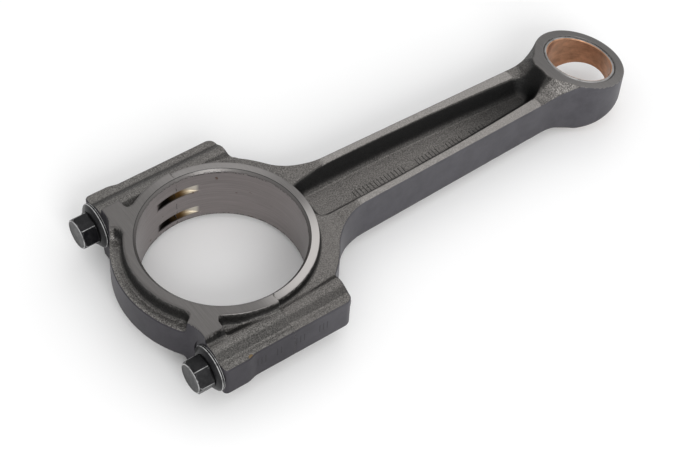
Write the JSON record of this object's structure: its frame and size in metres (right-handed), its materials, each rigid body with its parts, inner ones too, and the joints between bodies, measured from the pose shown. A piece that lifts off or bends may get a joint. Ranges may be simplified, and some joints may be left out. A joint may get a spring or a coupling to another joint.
{
  "type": "engine connecting rod",
  "caption": "Fracture-split connecting rod: flanged cap bolts release the bearing cap, tapered small end carries a bimetal pin bush.",
  "frame": {"origin": "on the crankpin bore axis, midway between the two thrust faces", "axes": "+X from the crankpin axis to the piston-pin axis, +Z along the crankpin bore, upwards"},
  "size_m": [0.2087, 0.0862, 0.0264],
  "materials": {
    "forged_steel": "powder-forged and shot-blasted skin, ground and bored faces",
    "bolt_steel": "dark phosphate and oil",
    "bush_steel": "turned",
    "bush_bronze": "fine-bored bronze"
  },
  "bodies": {
    "rod": {"rod": "forged_steel", "bush_backing": "bush_steel", "bush_lining": "bush_bronze"},
    "cap": {"cap": "forged_steel"},
    "bolt_near": {"cap_bolt_near": "bolt_steel"},
    "bolt_far": {"cap_bolt_far": "bolt_steel"}
  },
  "joints": [
    {"name": "cap_release", "type": "slide", "parent": "rod", "child": "cap", "axis": [-1, 0, 0], "range_m": [0, 0.04]},
    {"name": "near_bolt_withdraw", "type": "slide", "parent": "cap", "child": "bolt_near", "axis": [-1, 0, 0], "range_m": [0, 0.054]},
    {"name": "far_bolt_withdraw", "type": "slide", "parent": "cap", "child": "bolt_far", "axis": [-1, 0, 0], "range_m": [0, 0.054]}
  ]
}
